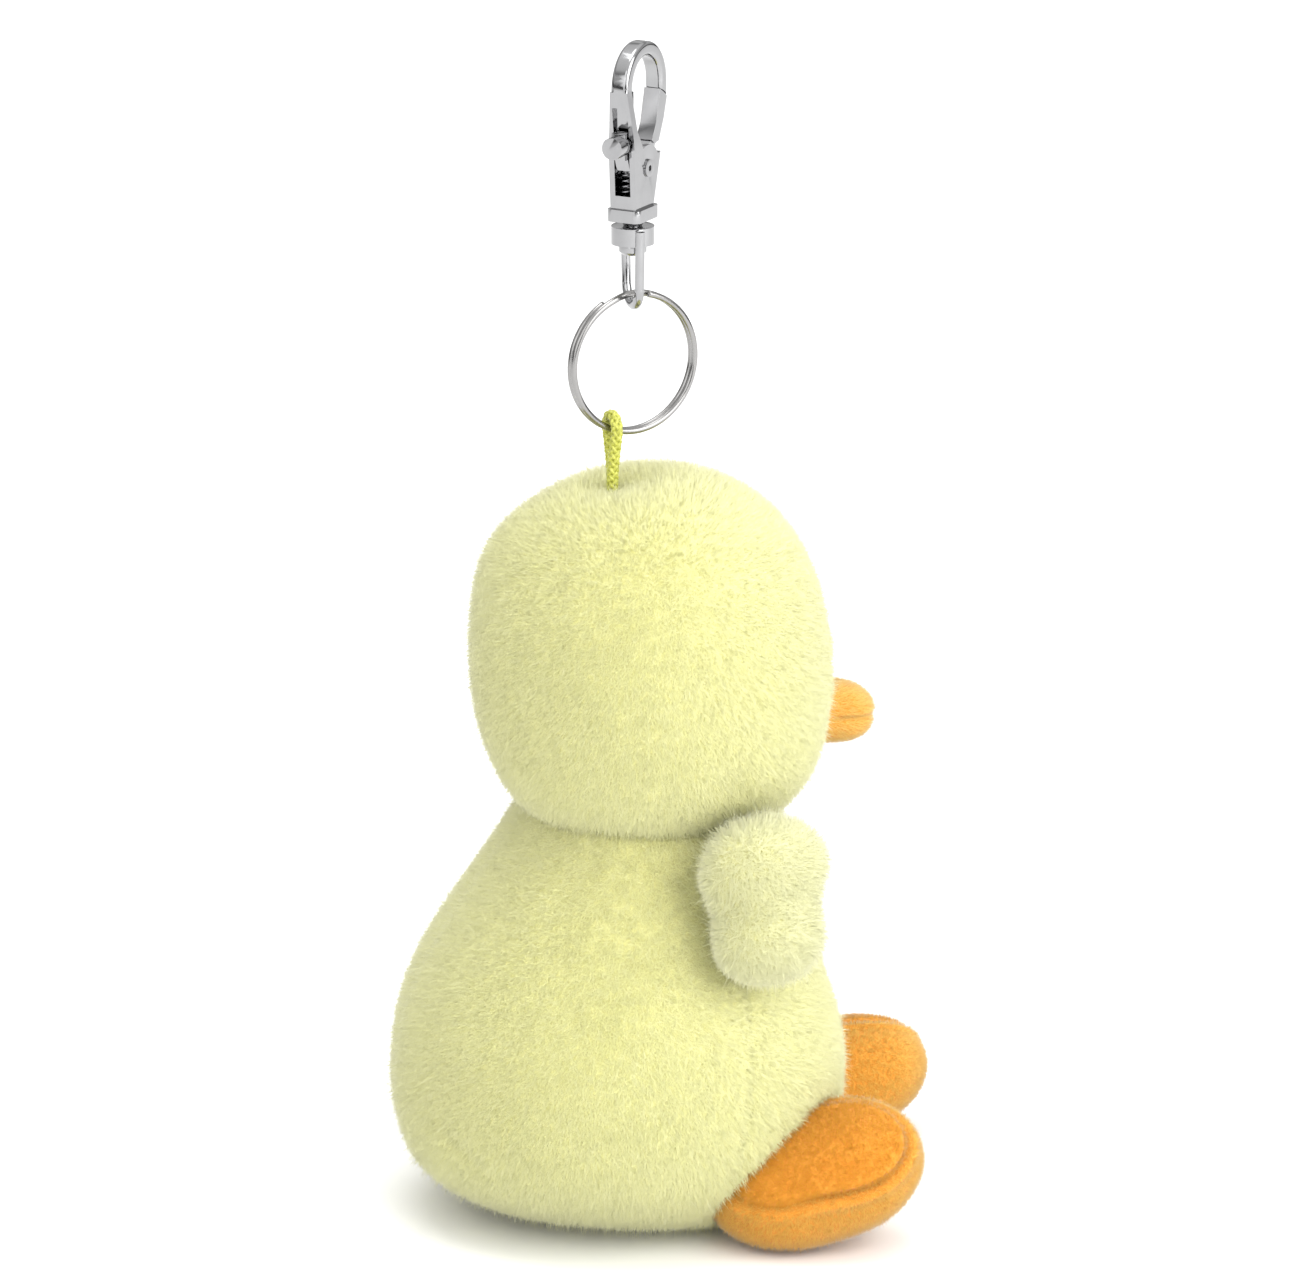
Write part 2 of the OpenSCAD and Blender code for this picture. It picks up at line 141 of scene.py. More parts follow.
def make_mesh(name, points, faces, materials, face_slots=None, normals=None):
    """A mesh object from points in millimetres and an array of triangles or quads."""
    faces = np.asarray(faces, np.int32)
    count, sides = faces.shape
    mesh = bpy.data.meshes.new(name)
    mesh.vertices.add(len(points))
    mesh.vertices.foreach_set("co", (np.asarray(points) * MM).astype(np.float32).ravel())
    mesh.loops.add(count * sides)
    mesh.loops.foreach_set("vertex_index", faces.ravel())
    mesh.polygons.add(count)
    mesh.polygons.foreach_set("loop_start", np.arange(0, count * sides, sides, dtype=np.int32))
    mesh.polygons.foreach_set("use_smooth", np.ones(count, bool))
    for material in materials:
        mesh.materials.append(material)
    if face_slots is not None:
        mesh.polygons.foreach_set("material_index", np.asarray(face_slots, np.int32))
    mesh.update(calc_edges=True)
    if normals is not None:
        mesh.normals_split_custom_set_from_vertices(normals)
    obj = bpy.data.objects.new(name, mesh)
    bpy.context.scene.collection.objects.link(obj)
    return obj


def vertex_normals(points, faces):
    corners = points[faces]
    face_normals = np.cross(corners[:, 1] - corners[:, 0], corners[:, 2] - corners[:, 0])
    total = np.zeros_like(points)
    for k in range(3):
        np.add.at(total, faces[:, k], face_normals)
    return unit(total)


def ball(level):
    """Even directions all round, and the triangles that join them."""
    bm = bmesh.new()
    bmesh.ops.create_icosphere(bm, subdivisions=level, radius=1)
    points = np.array([v.co for v in bm.verts])
    faces = np.array([[v.index for v in f.verts] for f in bm.faces])
    bm.free()
    return unit(points), faces


COARSE, MIDDLE, FINE = 5, 6, 7
BALLS = {level: ball(level) for level in (COARSE, MIDDLE, FINE)}
TUBE_END = 0.3      # how far a tube's end bulges, as a share of its radius


def tube(path, radius, sides):
    """Points and faces of a round tube along path. Its closed ends bulge a little."""
    path = np.asarray(path, float)
    along = unit(np.gradient(path, axis=0))
    side = np.cross(along[0], [0.3, 0.2, 1.0])
    points = []
    for centre, forward in zip(path, along):
        side = side - forward * np.dot(side, forward)
        side = side / np.linalg.norm(side)
        other = np.cross(forward, side)
        for k in range(sides):
            a = 2 * math.pi * k / sides
            points.append(centre + radius * (math.cos(a) * side + math.sin(a) * other))
    n = len(path)
    quads = [[i * sides + k, i * sides + (k + 1) % sides, (i + 1) * sides + (k + 1) % sides,
              (i + 1) * sides + k] for i in range(n - 1) for k in range(sides)]
    start, end = n * sides, n * sides + 1
    points += [path[0] - along[0] * radius * TUBE_END, path[-1] + along[-1] * radius * TUBE_END]
    quads += [[start, (k + 1) % sides, k, k] for k in range(sides)]
    quads += [[end, (n - 1) * sides + k, (n - 1) * sides + (k + 1) % sides,
               (n - 1) * sides + (k + 1) % sides] for k in range(sides)]
    return np.array(points), quads


def tube_object(name, tubes, material):
    """One object from several tubes."""
    bm = bmesh.new()
    for points, quads in tubes:
        verts = [bm.verts.new(p * MM) for p in points]
        for quad in quads:
            loop = [verts[i] for i in dict.fromkeys(quad)]
            bm.faces.new(loop).smooth = True
    mesh = bpy.data.meshes.new(name)
    bm.to_mesh(mesh)
    bm.free()
    mesh.materials.append(material)
    obj = bpy.data.objects.new(name, mesh)
    bpy.context.scene.collection.objects.link(obj)
    return obj


# ---------- materials ----------

def principled(name, color, roughness, **sockets):
    """A material whose shader's own sockets hold every plain value."""
    material = bpy.data.materials.new(name)
    material.use_nodes = True
    shader = material.node_tree.nodes["Principled BSDF"]
    shader.inputs["Base Color"].default_value = (*color, 1)
    shader.inputs["Roughness"].default_value = roughness
    for socket, value in sockets.items():
        shader.inputs[socket.replace("_", " ")].default_value = value
    return material


def vary_color(material, dark, light, scale, detail=4):
    """The base colour drifts between two colours with a noise scale per metre."""
    nodes, links = material.node_tree.nodes, material.node_tree.links
    place = nodes.new("ShaderNodeTexCoord")
    pattern = nodes.new("ShaderNodeTexNoise")
    pattern.inputs["Scale"].default_value = scale
    pattern.inputs["Detail"].default_value = detail
    ramp = nodes.new("ShaderNodeValToRGB")
    low, high = ramp.color_ramp.elements
    low.position, low.color = 0.35, (*dark, 1)
    high.position, high.color = 0.65, (*light, 1)
    links.new(place.outputs["Object"], pattern.inputs["Vector"])
    links.new(pattern.outputs["Fac"], ramp.inputs["Fac"])
    links.new(ramp.outputs["Color"], nodes["Principled BSDF"].inputs["Base Color"])


def add_bump(material, scale, distance):
    """Fine relief with a noise scale per metre and a height in metres."""
    nodes, links = material.node_tree.nodes, material.node_tree.links
    place = nodes.new("ShaderNodeTexCoord")
    grain = nodes.new("ShaderNodeTexNoise")
    grain.inputs["Scale"].default_value = scale
    grain.inputs["Detail"].default_value = 3
    relief = nodes.new("ShaderNodeBump")
    relief.inputs["Distance"].default_value = distance
    links.new(place.outputs["Object"], grain.inputs["Vector"])
    links.new(grain.outputs["Fac"], relief.inputs["Height"])
    links.new(relief.outputs["Normal"], nodes["Principled BSDF"].inputs["Normal"])


def vary_roughness(material, low, high, scale):
    """The roughness drifts between two values with a noise scale per metre."""
    nodes, links = material.node_tree.nodes, material.node_tree.links
    place = nodes.new("ShaderNodeTexCoord")
    smear = nodes.new("ShaderNodeTexNoise")
    smear.inputs["Scale"].default_value = scale
    span = nodes.new("ShaderNodeMapRange")
    span.inputs["To Min"].default_value, span.inputs["To Max"].default_value = low, high
    links.new(place.outputs["Object"], smear.inputs["Vector"])
    links.new(smear.outputs["Fac"], span.inputs["Value"])
    links.new(span.outputs["Result"], nodes["Principled BSDF"].inputs["Roughness"])


def backing(name, dark, light):
    """The knitted backing that the pile grows from."""
    material = principled(name, light, 0.95, Sheen_Weight=0.3, Sheen_Roughness=0.5)
    vary_color(material, dark, light, 700)
    add_bump(material, 2500, 0.0001)
    return material


def pile_tints(name, colors, sheen):
    """A few close tints, of which each fibre takes one."""
    return [principled(f"{name}_{k}", color, 0.9, Sheen_Weight=sheen, Sheen_Roughness=0.45,
                       Specular_IOR_Level=0.2) for k, color in enumerate(colors)]


def metal(name, color, low, high):
    """Polished metal whose roughness drifts from low to high."""
    material = principled(name, color, low, Metallic=1.0)
    vary_roughness(material, low, high, 900)
    vary_color(material, tuple(0.93 * c for c in color), color, 350)
    return material


YELLOW_BACKING = backing("yellow_backing", (0.78, 0.75, 0.33), (0.82, 0.80, 0.38))
ORANGE_BACKING = backing("orange_backing", (0.70, 0.26, 0.02), (0.74, 0.30, 0.03))
YELLOW_PILE = pile_tints("yellow_pile",
    [(0.92, 0.91, 0.47), (0.91, 0.90, 0.44), (0.93, 0.92, 0.51)], 0.35)
WING_PILE = pile_tints("wing_pile",
    [(0.905, 0.90, 0.53), (0.89, 0.885, 0.50), (0.92, 0.915, 0.57)], 0.35)
ORANGE_PILE = pile_tints("orange_pile",
    [(0.75, 0.335, 0.03), (0.735, 0.32, 0.028), (0.77, 0.36, 0.037)], 0.3)
# Paler, brighter tints on the sole: partly a paler fringe of fibre, partly painted backlight on the
# foot's lower rim.
PALE_BACKLIT_SOLE_PILE = pile_tints("pale_backlit_sole_pile",
    [(0.82, 0.46, 0.085), (0.80, 0.43, 0.075), (0.84, 0.49, 0.10)], 0.4)
BEAK_PILE = pile_tints("beak_pile",
    [(0.84, 0.51, 0.13), (0.80, 0.45, 0.09), (0.86, 0.56, 0.16)], 0.4)
CHROME = metal("chrome_plate", (0.36, 0.36, 0.365), 0.07, 0.13)
STEEL = metal("ring_steel", (0.31, 0.305, 0.30), 0.14, 0.24)
SPRING_STEEL = metal("spring_steel", (0.30, 0.30, 0.31), 0.25, 0.4)


def cord_yarn():
    material = principled("cord_yarn", (0.48, 0.49, 0.075), 0.38, Sheen_Weight=0.3,
                          Sheen_Roughness=0.3)
    vary_color(material, (0.39, 0.40, 0.05), (0.56, 0.57, 0.11), 1600, detail=2)
    add_bump(material, 4000, 0.00005)
    return material


def bead_black():
    material = principled("bead_black", (0.012, 0.011, 0.010), 0.08, Coat_Weight=0.6)
    vary_color(material, (0.008, 0.008, 0.008), (0.02, 0.018, 0.016), 500)
    vary_roughness(material, 0.05, 0.12, 800)
    return material


def filler(name, color, scale):
    """A plain matt fibre or plastic with a little grain."""
    material = principled(name, color, 0.95, Sheen_Weight=0.4)
    vary_color(material, tuple(0.85 * c for c in color), color, scale)
    add_bump(material, scale, 0.0003)
    return material


# ---------- stuffed forms ----------

SEAT_LIFT = 1.2     # how far the skin stays above the ground


class Soft:
    """A stuffed form. reach gives its skin's distance from its middle along local directions."""

    def __init__(self, middle, turn, reach):
        self.middle, self.turn, self.reach = np.array(middle, float), np.array(turn, float), reach

    def local(self, points):
        return (points - self.middle) @ self.turn

    def depth(self, points):
        """How far points lie inside the skin."""
        v = self.local(points)
        r = np.linalg.norm(v, axis=1)
        return self.reach(v / np.maximum(r, 1e-9)[:, None]) - r

    def skin(self, level, inset=0.0):
        """Points and outward faces of the skin, kept clear of the ground."""
        directions, faces = BALLS[level]
        distance = self.reach(directions) - inset
        points = self.middle + (directions * distance[:, None]) @ self.turn.T
        points[:, 2] = np.maximum(points[:, 2], GROUND + SEAT_LIFT + inset)
        return points, faces if np.linalg.det(self.turn) > 0 else faces[:, ::-1]


def solve_reach(shape, far):
    """A reach function for the form where shape(points) is negative inside."""
    def reach(directions):
        low, high = np.zeros(len(directions)), np.full(len(directions), float(far))
        for _ in range(26):
            half = (low + high) / 2
            inside = shape(directions * half[:, None]) < 0
            low, high = np.where(inside, half, low), np.where(inside, high, half)
        return (low + high) / 2
    return reach


def ellipsoid(points, middle, half):
    """Rough distance to an ellipsoid's surface, negative inside."""
    v = (points - np.array(middle)) / np.array(half)
    k = np.linalg.norm(v, axis=1)
    return (k - 1) * min(half) * (0.4 + 0.6 * np.clip(k, 0, 1))


def joined(a, b, soft):
    """Smooth union of two shapes."""
    h = np.clip(0.5 + 0.5 * (b - a) / soft, 0, 1)
    return b * (1 - h) + a * h - soft * h * (1 - h)


MID_X = -1.5154
PILE = 1.15         # how far the skin lies under the pile's tips


def lumps(p, places):
    """What each round bump or dent adds to the reach. Each has a place, a width and a height."""
    for place, width, height in places:
        yield height * bump(np.linalg.norm(p - place, axis=1), width)


HEAD_MIDDLE = np.array([MID_X, -1.4, -80.2])
HEAD_TURN = turn_z(14) @ turn_x(-2.5)
CORD_PLACE = np.array([-3.05, 3.945, -54.0])
HEAD_R, HEAD_TOP, HEAD_BOTTOM = 25.0, 27.4, 24.5
HEAD_ROUND, HEAD_SQUARE = 2.25, 2.9      # powers of the outline above and below the middle
GUSSET_HALF = 7.5
EYE_SIDE = 17
EYES = [turn_z(side * EYE_SIDE) @ np.array([0, -24.0, -2.5]) for side in (-1, 1)]
BACK_LUMP = ([8, 18, 17], 8, 1.2)
NAPE_DENT = ([7, 20, -15], 9, -1.1)
CHEEK_DENT = ([-21.5, -2.0, -12.0], 3.2, -0.7)


def super_round(flat, rise, half_flat, half_rise, power):
    """Distance from the middle to a rounded outline, for a direction's two parts."""
    return ((flat / half_flat) ** power + (rise / half_rise) ** power) ** (-1 / power)


def head_reach(d):
    flat, rise = np.linalg.norm(d[:, :2], axis=1), np.abs(d[:, 2])
    upper = super_round(flat, rise, HEAD_R - PILE, HEAD_TOP - PILE, HEAD_ROUND)
    lower = super_round(flat, rise, HEAD_R - PILE, HEAD_BOTTOM - PILE, HEAD_SQUARE)
    r = np.where(d[:, 2] > 0, upper, lower)
    p = d * r[:, None]
    entry = (CORD_PLACE - HEAD_MIDDLE) @ HEAD_TURN
    for lump in lumps(p, [(entry, 5.5, -1.5)]):
        r += lump
    seam = np.abs(p[:, 0]) - GUSSET_HALF
    r -= 0.12 * bump(seam, 0.8) * smooth_step((d[:, 2] + 0.75) * 3)
    for lump in lumps(p, [BACK_LUMP, NAPE_DENT, CHEEK_DENT]):
        r += lump
    for eye in EYES:
        r += 0.45 * bump(np.linalg.norm(p - eye, axis=1) - 3.4, 1.7)
    r += 0.45 * noise(p, 13, 3) + 0.04 * noise(p, 5, 5)
    return r


HEAD = Soft(HEAD_MIDDLE, HEAD_TURN, head_reach)

BODY_TURN = turn_x(7.5)
BODY_WIDEST = np.array([MID_X, 3.44, -140]) + BODY_TURN @ np.array([0, 0, 3.2])
BELLY_SIDE = 62
BODY_R, BASE_DEPTH, BODY_RISE = 31.6, 22.3, 44
TAPER, TAPER_LENGTH = 7.8, 48
CHEST_DENT = ([0, -28, 17], 11, -1.8)


def body_outline(h, square):
    """The body's radius at a height from its widest part. A larger square makes a boxier base."""
    down = np.minimum(np.abs(h), BASE_DEPTH) / BASE_DEPTH
    lower = BODY_R * np.maximum(1 - down ** square, 0) ** (1 / square)
    upper = BODY_R - TAPER * (1 - np.cos(np.pi * np.clip(h, 0, BODY_RISE) / TAPER_LENGTH))
    return np.where(h < 0, lower, np.where(h < BODY_RISE, upper, 0)) - PILE


def body_shape(p):
    """Negative inside the body, which is boxier in front and behind than at its sides."""
    flat = np.linalg.norm(p[:, :2], axis=1)
    square = 2.3 + 1.1 * (p[:, 1] / np.maximum(flat, 1e-6)) ** 2
    return flat - body_outline(p[:, 2], square)


body_plain = solve_reach(body_shape, 60)


def fold(p, start, end, width, depth):
    """A short crease between two points."""
    start, end = np.array(start, float), np.array(end, float)
    t = np.clip(((p - start) @ (end - start)) / np.dot(end - start, end - start), 0, 1)
    near = np.linalg.norm(p - start - t[:, None] * (end - start), axis=1)
    return depth * bump(near, width) * np.sin(np.pi * (0.12 + 0.76 * t))


def body_reach(d):
    r = body_plain(d)
    p = d * r[:, None]
    angle = np.degrees(np.arctan2(p[:, 0], -p[:, 1]))
    flat = np.linalg.norm(p[:, :2], axis=1)
    for seam in (-BELLY_SIDE, BELLY_SIDE, 180, -180):
        r -= 0.3 * bump(np.radians(angle - seam) * flat, 0.9)
    for lump in lumps(p, [CHEST_DENT]):
        r += lump
    r += 0.5 * noise(p, 15, 21) + 0.04 * noise(p, 5.5, 25)
    for start, end, width, depth in (((-27, 14, -10), (-22, 20.5, -15), 1.6, 0.9),
                                     ((-16, 26.5, -8), (-23, 19, -14), 1.5, 0.7),
                                     ((20, 24, -9), (26, 14, -14), 1.6, 0.8),
                                     ((4, 30, -12), (-5, 30, -15), 1.8, 0.6)):
        r -= fold(p, start, end, width, depth)
    return r


BODY = Soft(BODY_WIDEST, BODY_TURN, body_reach)

WING_MIDDLE = np.array([7.0, -0.2, -9.5])


def wing_shape(p):
    q = p + WING_MIDDLE
    upper = ellipsoid(q, (5.9, -1.7, -6.6), (5.0, 8.8, 6.4))
    lower = ellipsoid(q, (8.6, -0.9, -15.6), (4.7, 7.4, 5.7))
    return joined(upper, lower, 3.8)


wing_plain = solve_reach(wing_shape, 25)


def wing_reach(d):
    r = wing_plain(d)
    return r + 0.25 * noise(d * r[:, None], 4.5, 31)


def wing_soft(side):
    """A wing, mirrored through the chick's middle for side -1."""
    flip = np.diag([side, 1, 1])
    turn = flip @ turn_z(-23)
    root = np.array([MID_X, -1.6, -97]) + turn @ np.array([20.1, 0, 0])
    return Soft(root + turn @ WING_MIDDLE, turn, wing_reach)


WINGS = {"left": wing_soft(1), "right": wing_soft(-1)}

FOOT_PILE = 0.4
FOOT_SEAM_LIFT, FOOT_SEAM_DIP = 5.6, 0.1
SEAM_ROLLS = {"left": 40, "right": -8}


def foot_shape(p):
    heel = ellipsoid(p, (0, 3.6, 0), (10.9 - FOOT_PILE, 12.8 - FOOT_PILE, 8.3 - FOOT_PILE))
    toe = ellipsoid(p, (0, -4.8, -0.2), (9.4 - FOOT_PILE, 9.8 - FOOT_PILE, 7.6 - FOOT_PILE))
    return joined(heel, toe, 3.0)


foot_plain = solve_reach(foot_shape, 25)


def foot_seam(p, roll):
    """Height above the seam between a foot's two panels, which dips at the toe."""
    q = p @ turn_y(roll)
    return q[:, 2] - FOOT_SEAM_LIFT + FOOT_SEAM_DIP * (np.hypot(q[:, 1], 3) - q[:, 1])


def foot_soft(middle, turns, seam_roll):
    """A foot with a groove between two ridges along its seam, softer towards the heel."""
    def reach(d):
        r = foot_plain(d)
        p = d * r[:, None]
        rim = foot_seam(p, seam_roll)
        crisp = 0.55 + 0.45 * smooth_step((5 - p[:, 1]) / 9)
        r += crisp * (0.5 * bump(rim + 1.0, 0.7) + 0.35 * bump(rim - 0.9, 0.6) - 0.65 * bump(rim, 0.4))
        return r + 0.3 * noise(p, 6, 41) + 0.03 * noise(p, 2.5, 43)
    return Soft(middle, turn_z(turns[2]) @ turn_x(turns[0]) @ turn_y(turns[1]), reach)


FEET = {"left": foot_soft((20.4, -30.5, -150.4), (-11, 6, 10), SEAM_ROLLS["left"]),
        "right": foot_soft((-22, -22.2, -148.9), (-17, -28, -12), SEAM_ROLLS["right"])}

BEAK_LIFT = -11
BEAK_TIP = 32.8


def beak_shape(p):
    q = (p + [0, 0, 0.3]) / np.array([4.5, 6.3, 4.0])
    return (np.abs(q) ** 2.7).sum(axis=1) - 1


beak_plain = solve_reach(beak_shape, 12)


def beak_reach(d):
    r = beak_plain(d)
    p = d * r[:, None]
    mouth = p[:, 2] + 0.5 + 0.05 * p[:, 1]
    r -= 0.45 * bump(mouth, 0.4) * smooth_step((2 - p[:, 1]) / 3)
    return r + 0.15 * noise(p, 2.2, 51)


BEAK = Soft(HEAD_MIDDLE + HEAD_TURN @ np.array([0, 6.8 - BEAK_TIP, BEAK_LIFT]),
            HEAD_TURN @ turn_x(9), beak_reach)


# ---------- pile ----------

def scatter(points, faces, per_mm2):
    """Even random places on the triangles: the points and their smooth normals."""
    corners = points[faces]
    across = np.cross(corners[:, 1] - corners[:, 0], corners[:, 2] - corners[:, 0])
    area = np.linalg.norm(across, axis=1) / 2
    count = int(area.sum() * per_mm2 * DENSITY)
    pick = random.choice(len(faces), count, p=area / area.sum())
    a, b = random.random(count), random.random(count)
    over = a + b > 1
    a, b = np.where(over, 1 - a, a), np.where(over, 1 - b, b)
    weights = np.stack([1 - a - b, a, b], axis=1)[:, :, None]
    normals = vertex_normals(points, faces)
    return (corners[pick] * weights).sum(axis=1), unit((normals[faces[pick]] * weights).sum(axis=1))


ROOT_DEPTH = 0.12       # how far a fibre starts below the skin


def strands(name, root, way, length, width, normals, tints):
    """Closed three-sided fibres, each from its root to a point."""
    n = len(root)
    across = unit(np.cross(way, random.normal(size=(n, 3))))
    other = np.cross(way, across)
    low = root - ROOT_DEPTH * way
    base = [low + (width / 2)[:, None] * (math.cos(a) * across + math.sin(a) * other)
            for a in (0, 2 * math.pi / 3, 4 * math.pi / 3)]
    tip = root + way * length[:, None]
    tip[:, 2] = np.maximum(tip[:, 2], GROUND + 0.05)
    points = np.stack(base + [tip], axis=1)
    middle = points[:, :3].mean(axis=1, keepdims=True)
    outward = np.concatenate([unit(points[:, :3] - middle), way[:, None]], axis=1)
    shading = unit(0.9 * normals[:, None] + 0.25 * outward)
    first = 4 * np.arange(n)[:, None]
    sides = ([0, 1, 3], [1, 2, 3], [2, 0, 3], [2, 1, 0])
    faces = np.stack([first + side for side in sides], axis=1)
    slots = np.repeat(random.integers(0, len(tints), n), 4)
    return make_mesh(name, points.reshape(-1, 3), faces.reshape(-1, 3), tints, slots,
                     shading.reshape(-1, 3))


MOST_STRANDS = 49000    # in one piece; four triangles each
LEAST_RISE = 0.35       # of a fibre out of its skin


def grow(name, body, points, faces, tints, per_mm2, length, width, keep, comb=0.35,
         stray=0.3, clump=0.05, along=(0, 0, -1)):
    """Short pile on a skin, combed along one direction. One fibre in twenty is a longer one."""
    root, normal = scatter(points, faces, per_mm2)
    kept = keep(root)
    root, normal = root[kept], normal[kept]
    n = len(root)
    along = np.asarray(along, float)
    lay = along - normal * (normal @ along)[:, None]
    way = normal + comb * lay
    way = way + clump * noise_vectors(root, 2.2, 61) + 0.05 * noise_vectors(root, 9, 67)
    way = unit(way + stray * random.normal(size=(n, 3)))
    way = unit(way + normal * np.maximum(LEAST_RISE - (way * normal).sum(axis=1), 0)[:, None])
    share = random.random(n)
    long = length * (0.75 + 0.35 * share + 0.45 * (share > 0.95))
    wide = width * (0.75 + 0.5 * random.random(n))
    for k, start in enumerate(range(0, n, MOST_STRANDS)):
        part = slice(start, start + MOST_STRANDS)
        pile = strands(f"{name}_pile_{k + 1}", root[part], way[part], long[part], wide[part],
                       normal[part], tints)
        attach(pile, body)


def cord_axis_distance(p):
    """Distance from the flat loop of cord where it enters the head."""
    v = (p - CORD_PLACE) @ turn_z(28)
    return np.hypot(np.maximum(np.abs(v[:, 0]) - 1.0, 0), v[:, 1])


def keep_head(p):
    """Where the head carries pile: not inside the body or beak, under an eye or at the cord."""
    to_eyes = [np.linalg.norm(p - (HEAD_MIDDLE + HEAD_TURN @ eye), axis=1) for eye in EYES]
    clear_eyes = np.min(to_eyes, axis=0) > 2.2
    at_cord = (cord_axis_distance(p) < 1.1) & (p[:, 2] > -62)
    return (BODY.depth(p) < 0.4) & (BEAK.depth(p) < 0.2) & clear_eyes & ~at_cord


def keep_body(p):
    in_feet = (FEET["left"].depth(p) > -0.5) | (FEET["right"].depth(p) > -0.5)
    return ~(HEAD.depth(p) > 0.4) & ~in_feet & (p[:, 2] < -95)


def keep_off_body(p):
    return BODY.depth(p) < 0.2


def keep_wing(p):
    return (BODY.depth(p) < 0.2) & (HEAD.depth(p) < -0.8)


def keep_beak(p):
    return HEAD.depth(p) < 0.3


def panels(soft, level, body, material, rule, nodes):
    """Cuts a form's skin into sewn panels. rule numbers the panel of each face by its middle."""
    points, faces = soft.skin(level)
    middle = points[faces].mean(axis=1)
    label = rule(soft.local(middle), middle)
    made = []
    for k, (name, node) in enumerate(nodes):
        part = faces[label == k]
        used, index = np.unique(part, return_inverse=True)
        piece = make_mesh(name, points[used], index.reshape(-1, 3), [material],
                          normals=vertex_normals(points, faces)[used])
        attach(piece, body)
        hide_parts(node)
        made.append((name, points, part))
    return made


def filling(name, soft, inset, body, node):
    """The stuffing that lies inset below a form's skin."""
    points, faces = soft.skin(COARSE, inset)
    piece = make_mesh(name, points, faces, [FIBRE_FILL])
    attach(piece, body)
    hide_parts(node)


FIBRE_FILL = filler("fibre_fill", (0.9, 0.9, 0.88), 600)
YELLOW_LENGTH, YELLOW_WIDTH, YELLOW_PER_MM2 = 1.65, 0.11, 23
BASE_PER_MM2 = 6        # the side it sits on has a thin pile


def make_head():
    def rule(local, middle):
        right = np.where(local[:, 0] < -GUSSET_HALF, 1, 2)
        return np.where(local[:, 0] > GUSSET_HALF, 0, right)
    names = [("head_left_skin", "head_left_panel"), ("head_right_skin", "head_right_panel"),
             ("head_gusset_skin", "head_gusset_panel")]
    made = panels(HEAD, FINE, "chick", YELLOW_BACKING, rule, names)
    for name, points, part in made:
        grow(name, "chick", points, part, YELLOW_PILE, YELLOW_PER_MM2, YELLOW_LENGTH,
             YELLOW_WIDTH, keep_head, stray=0.28, clump=0.015)
    filling("head_fibre", HEAD, 1.2, "chick", "head_stuffing")


def make_body():
    def rule(local, middle):
        angle = np.degrees(np.arctan2(local[:, 0], -local[:, 1]))
        side = np.where(np.abs(angle) < BELLY_SIDE, 2, np.where(angle > 0, 0, 1))
        return np.where(middle[:, 2] < GROUND + 2.4, 3, side)
    names = [("body_back_left_skin", "body_back_left_panel"),
             ("body_back_right_skin", "body_back_right_panel"),
             ("body_belly_skin", "body_belly_panel"), ("body_base_skin", "body_base_panel")]
    made = panels(BODY, FINE, "chick", YELLOW_BACKING, rule, names)
    for name, points, part in made:
        per_mm2 = BASE_PER_MM2 if name == "body_base_skin" else YELLOW_PER_MM2
        grow(name, "chick", points, part, YELLOW_PILE, per_mm2, YELLOW_LENGTH,
             YELLOW_WIDTH, keep_body, stray=0.28, clump=0.015)
    filling("body_fibre", BODY, 1.2, "chick", "body_stuffing")


def make_wings():
    for side, soft in WINGS.items():
        def rule(local, middle):
            q = local + WING_MIDDLE
            return np.where(q[:, 0] * 0.949 + (q[:, 2] + 6.6) * 0.316 > 5.4, 0, 1)
        names = [(f"wing_{side}_outer_skin", f"wing_{side}_outer_panel"),
                 (f"wing_{side}_inner_skin", f"wing_{side}_inner_panel")]
        body = f"wing_{side}"
        made = panels(soft, MIDDLE, body, YELLOW_BACKING, rule, names)
        for name, points, part in made:
            length = 1.2 if "inner" in name else 2.3
            grow(name, body, points, part, WING_PILE, 34, length, 0.09, keep_wing,
                 comb=0.25, stray=0.45, clump=0.03)
        filling(f"wing_{side}_fibre", soft, 0.9, body, f"wing_{side}_stuffing")


def make_feet():
    for side, soft in FEET.items():
        def rule(local, middle):
            return np.where(foot_seam(local, SEAM_ROLLS[side]) > 0, 0, 1)
        names = [(f"foot_{side}_upper_skin", f"foot_{side}_upper_panel"),
                 (f"foot_{side}_sole_skin", f"foot_{side}_sole_panel")]
        made = panels(soft, FINE, "chick", ORANGE_BACKING, rule, names)
        for name, points, part in made:
            # The sole's tints hold painted backlight besides a paler fringe of fibre.
            tints = ORANGE_PILE if "upper" in name else PALE_BACKLIT_SOLE_PILE
            grow(name, "chick", points, part, tints, 30, 0.7, 0.1, keep_off_body)
        filling(f"foot_{side}_fibre", soft, 1.0, "chick", f"foot_{side}_stuffing")


def make_beak():
    def rule(local, middle):
        return np.where(local[:, 2] > -0.5, 0, 1)
    names = [("beak_upper_skin", "beak_upper_panel"), ("beak_lower_skin", "beak_lower_panel")]
    made = panels(BEAK, MIDDLE, "chick", ORANGE_BACKING, rule, names)
    for name, points, part in made:
        grow(name, "chick", points, part, BEAK_PILE, 34, 0.75, 0.09, keep_beak,
             comb=1.2, along=BEAK.turn @ [0, -1, 0])
    filling("beak_fibre", BEAK, 0.7, "chick", "beak_stuffing")


# ---------- eyes ----------

def make_eyes():
    """Low black domes whose rims lie down in the pile."""
    material = bead_black()
    directions, faces = BALLS[COARSE]
    for side, angle in (("left", EYE_SIDE), ("right", -EYE_SIDE)):
        turn = HEAD_TURN @ turn_z(angle)
        rim = 0.22 * bump(directions[:, 1] - 0.1, 0.12)
        local = directions * (np.array([2.15, 1.75, 2.15]) * (1 + rim[:, None]))
        points = HEAD_MIDDLE + (local + [0, -22.9, -2.5]) @ turn.T
        eye = make_mesh(f"bead_eye_{side}", points, faces, [material])
        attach(eye, "chick")
        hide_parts(f"eye_{side}")


# ---------- ring and cord ----------

